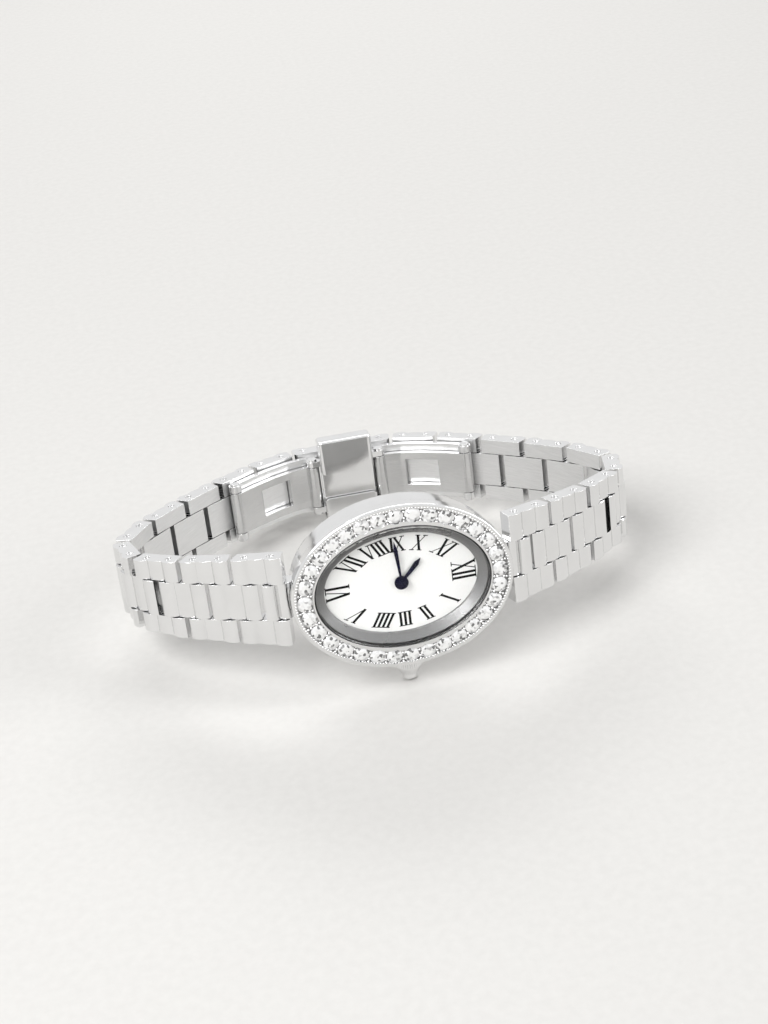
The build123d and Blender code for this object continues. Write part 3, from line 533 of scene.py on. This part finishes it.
def brilliant_mesh(places):
    """Facets of a round brilliant, between rings of points and a culet.

    The rings are table 8, kites 8, girdle 16 twice and mains 8. A ring of n points at radius r
    and height h has them at the angles (i + shift) * 2 pi / n."""
    def ring(radius, height, count, shift):
        angle = (np.arange(count) + shift) * 2 * np.pi / count
        return np.stack([radius * np.cos(angle), radius * np.sin(angle), np.full(count, height)], 1)
    r = STONE_DIAMETER / 2
    table = ring(STONE_TABLE / 2, STONE_CROWN, 8, 0.0)
    kite = ring(0.5 * (r + STONE_TABLE / 2) + KITE_BULGE, STONE_CROWN * KITE_LEVEL, 8, 0.5)
    girdle_top = ring(r, GIRDLE, 16, 0.0)
    girdle_foot = ring(r, 0.0, 16, 0.0)
    mains = ring(r * MAINS_REACH, -STONE_PAVILION * MAINS_LEVEL, 8, 0.0)
    culet = np.array([[0.0, 0.0, -STONE_PAVILION]])
    points = np.concatenate([table, kite, girdle_top, girdle_foot, mains, culet])
    facets = [list(range(8))]
    for i in range(8):
        j = (i + 1) % 8
        g, h = 16 + 2 * i, 16 + (2 * i + 2) % 16
        k, m = 32 + 2 * i, 32 + (2 * i + 2) % 16
        facets += [[i, 8 + i, j], [8 + i, g, g + 1], [8 + i, g + 1, h], [i, 8 + (i - 1) % 8, g, 8 + i],
                   [k, k + 1, g + 1, g], [k + 1, m, h, g + 1], [48 + i, k + 1, k],
                   [48 + i, 48 + j, k + 1], [48 + j, m, k + 1], [56, 48 + j, 48 + i]]
    turn = np.random.default_rng(TURN_SEED).uniform(0, np.pi / 4, len(places))
    vertices, faces = [], []
    for number, (place, angle) in enumerate(zip(places, turn)):
        x = points[:, 0] * np.cos(angle) - points[:, 1] * np.sin(angle) + place[0]
        y = points[:, 0] * np.sin(angle) + points[:, 1] * np.cos(angle) + place[1]
        vertices.append(on_head(x, y, points[:, 2] + BEZEL_TOP - STONE_BAND_DEPTH))
        faces += [[index + number * len(points) for index in facet] for facet in facets]
    return solid_mesh("brilliant_stones", np.concatenate(vertices), faces, smooth=False)


def diamond(name):
    """Colourless stone; small cells, most bright and a few dark, are painted reflections that stand for
    its inner mirroring.
    """
    made, shader = material(name)
    # Painted reflections: cells of bright and dark base colour stand in for the stone's glints.
    facets = made.node_tree.nodes.new("ShaderNodeTexVoronoi")
    facets.inputs["Scale"].default_value = PAINTED_SPARKLE_SCALE
    made.node_tree.links.new(object_coordinates(made, (1, 1, 1)), facets.inputs["Vector"])
    painted_sparkle = ramp(made, facets.outputs["Color"], [(0.2, 0.15), (0.3, 0.8), (0.5, 1.0)])
    made.node_tree.links.new(painted_sparkle, shader.inputs["Base Color"])
    made.node_tree.links.new(ramp(made, painted_sparkle, [(0.0, 0.03), (1.0, 0.08)]), shader.inputs["Roughness"])
    shader.inputs["Metallic"].default_value = 0.35
    shader.inputs["IOR"].default_value = 2.4
    return made


stone_places = oval_walk(STONE_RING_LENGTH, STONE_RING_WIDTH, STONE_COUNT)[0]
stones = brilliant_mesh(stone_places)
stones.data.materials.append(diamond("white_stone"))
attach(stones, "head")
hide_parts("bezel_stones")

# Crown. A fluted steel button at 3 o'clock on a steel stem; it turns to set the hands once
# it is pulled out a click.
finish(["crown", "crown_stem"], polished)


# Bracelet. Solid steel links in three rows, each with three ribs across, mirror-polished
# outside and brushed flat on the wrist side, turning on steel pins held in the outer links.
INNER_LIGHT = 0.86
INNER_DARK = 0.74
LOOP_MIDDLE = (0.0, 0.002, 0.0)


def link_steel(name):
    """Polished outside, brushed where the surface faces the middle of the loop.

    The side is the surface's direction times the direction towards the loop's middle, which
    is 1 where it faces the middle squarely."""
    made = polished_steel(name)
    nodes, links = made.node_tree.nodes, made.node_tree.links
    shader = nodes["Principled BSDF"]
    place = nodes.new("ShaderNodeTexCoord")
    inward = nodes.new("ShaderNodeVectorMath")
    inward.operation = "MULTIPLY_ADD"
    inward.inputs[1].default_value = (-1.0, -1.0, 0.0)
    inward.inputs[2].default_value = LOOP_MIDDLE
    links.new(place.outputs["Object"], inward.inputs[0])
    unit = nodes.new("ShaderNodeVectorMath")
    unit.operation = "NORMALIZE"
    links.new(inward.outputs["Vector"], unit.inputs[0])
    facing = nodes.new("ShaderNodeVectorMath")
    facing.operation = "DOT_PRODUCT"
    links.new(unit.outputs["Vector"], facing.inputs[0])
    links.new(place.outputs["Normal"], facing.inputs[1])
    lines = noise(made, object_coordinates(made, (500, 500, 22000), ALONG_HEAD), 1.0, 4.0)
    side = ramp(made, facing.outputs["Value"], [(0.35, 0.0), (0.5, 1.0)])
    rough = nodes.new("ShaderNodeMix")
    rough.data_type = "FLOAT"
    links.new(side, rough.inputs["Factor"])
    links.new(shader.inputs["Roughness"].links[0].from_socket, rough.inputs["A"])
    links.new(ramp(made, lines, [(0.3, 0.42), (0.7, 0.3)]), rough.inputs["B"])
    links.new(rough.outputs["Result"], shader.inputs["Roughness"])
    colour = nodes.new("ShaderNodeMix")
    colour.data_type = "RGBA"
    links.new(side, colour.inputs["Factor"])
    links.new(shader.inputs["Base Color"].links[0].from_socket, colour.inputs["A"])
    links.new(ramp(made, lines, [(0.3, INNER_DARK), (0.7, INNER_LIGHT)]), colour.inputs["B"])
    links.new(colour.outputs["Result"], shader.inputs["Base Color"])
    return made


link_finish = link_steel("link_steel")
link_names = [name for name in frame["nodes"] if "_outer_link_" in name or "_centre_link_" in name]
finish(link_names, link_finish)

# Clasp. Bent steel leaves folded under the last links: an outer blade with the end links on
# it, a windowed inner blade, and between them the body with its push buttons.
finish([f"{side}_outer_blade" for side in ("left", "right")], link_finish)
leaf_steel = brushed_steel("leaf_steel", 0.70, 0.62, 0.2, ALONG_HEAD, (500, 500, 16000), 0.000002)
finish([f"{side}_inner_blade" for side in ("left", "right")], leaf_steel)
finish(["clasp_body"], polished)
finish(["push_button_top", "push_button_bottom"], polished)

# Studio. A pale floor, one wide soft light above, one at the side and one behind. The world
# is pale to the camera, in metal and through glass, and a plain grey room to everything else.
FLOOR_SIZE = 3.0
LIGHT_TARGET = (0, 0, 0.01)
PALE_GREY = 0.93
ROOM_GREY = 0.80
ROOM_STRENGTH = 0.35
floor_mesh = bpy.data.meshes.new("floor")
steps = np.linspace(-FLOOR_SIZE, FLOOR_SIZE, 3)
grid_x, grid_y = np.meshgrid(steps, steps)
floor_points = np.stack([grid_x.ravel(), grid_y.ravel(), np.zeros(grid_x.size)], 1)
floor_faces = [(r * 3 + c, r * 3 + c + 1, r * 3 + c + 4, r * 3 + c + 3)
               for r in range(2) for c in range(2)]
floor_mesh.from_pydata(floor_points.tolist(), [], floor_faces)
floor = bpy.data.objects.new("floor", floor_mesh)
bpy.context.scene.collection.objects.link(floor)
floor_finish, floor_shader = material("floor_paper")
fibres = noise(floor_finish, object_coordinates(floor_finish, (1, 1, 1)), 900.0)
paper = ramp(floor_finish, fibres, [(0.3, (0.74, 0.73, 0.71)), (0.7, (0.77, 0.76, 0.74))])
floor_finish.node_tree.links.new(paper, floor_shader.inputs["Base Color"])
floor_shader.inputs["Roughness"].default_value = 0.9
floor_shader.inputs["Specular IOR Level"].default_value = 0.1
floor.data.materials.append(floor_finish)


def soft_light(name, place, size, power):
    """A rectangular lamp at a place, facing the watch, in metres and watts."""
    lamp = bpy.data.lights.new(name, "AREA")
    lamp.shape = "RECTANGLE"
    lamp.size, lamp.size_y = size
    lamp.energy = power
    made = bpy.data.objects.new(name, lamp)
    made.location = place
    towards = Vector(LIGHT_TARGET) - Vector(place)
    made.rotation_euler = towards.to_track_quat("-Z", "Y").to_euler()
    bpy.context.scene.collection.objects.link(made)


soft_light("key_light", (-0.28, -0.22, 0.42), (0.30, 0.30), 2.3)
soft_light("fill_light", (0.42, -0.12, 0.24), (0.12, 0.4), 0.8)
soft_light("back_light", (0.05, 0.40, 0.30), (0.4, 0.14), 0.9)

world = bpy.data.worlds.new("studio")
bpy.context.scene.world = world
world.use_nodes = True
world_nodes, world_links = world.node_tree.nodes, world.node_tree.links
room = world_nodes["Background"]
room.inputs["Color"].default_value = (ROOM_GREY, ROOM_GREY, ROOM_GREY, 1)
room.inputs["Strength"].default_value = ROOM_STRENGTH


def either_ray(first, second):
    """1 for a ray that is one of two kinds, 0 for any other."""
    larger = world_nodes.new("ShaderNodeMath")
    larger.operation = "MAXIMUM"
    world_links.new(first, larger.inputs[0])
    world_links.new(second, larger.inputs[1])
    return larger.outputs["Value"]


pale = world_nodes.new("ShaderNodeBackground")
pale.inputs["Color"].default_value = (PALE_GREY, PALE_GREY, PALE_GREY, 1)
seen = world_nodes.new("ShaderNodeLightPath")
mirrored = either_ray(seen.outputs["Is Glossy Ray"], seen.outputs["Is Transmission Ray"])
mix = world_nodes.new("ShaderNodeMixShader")
world_links.new(either_ray(seen.outputs["Is Camera Ray"], mirrored), mix.inputs["Fac"])
world_links.new(room.outputs["Background"], mix.inputs[1])
world_links.new(pale.outputs["Background"], mix.inputs[2])
world_links.new(mix.outputs["Shader"], world_nodes["World Output"].inputs["Surface"])

# Camera. It stands a little to the left and above, as in the photograph; its place in mm and
# its directions count along to 12, up to 9 and out of the dial.
FOCAL_PIXELS = 1698.0
PHOTO_HEIGHT = 1024
SENSOR_HEIGHT = 24.0
CAMERA_PLACE = (-28.489, 84.701, 185.404)
CAMERA_AHEAD = (0.137048, -0.375984, -0.916435)
CAMERA_UP = (0.177108, 0.919558, -0.350780)
head_directions = np.stack([TO_TWELVE, TO_NINE, OUT_OF_DIAL])
eye = on_head(*CAMERA_PLACE)
ahead = np.array(CAMERA_AHEAD) @ head_directions
camera_up = np.array(CAMERA_UP) @ head_directions
camera_right = np.cross(ahead, camera_up)
lens = bpy.data.cameras.new("camera")
lens.sensor_fit = "VERTICAL"
lens.sensor_height = SENSOR_HEIGHT
lens.lens = FOCAL_PIXELS / PHOTO_HEIGHT * SENSOR_HEIGHT
lens.clip_start = 0.01
camera = bpy.data.objects.new("camera", lens)
pose = np.eye(4)
pose[:3, 0], pose[:3, 1], pose[:3, 2], pose[:3, 3] = camera_right, camera_up, -ahead, eye
camera.matrix_world = Matrix(pose.tolist())
bpy.context.scene.collection.objects.link(camera)
bpy.context.scene.camera = camera
bpy.context.scene.view_settings.view_transform = "Standard"
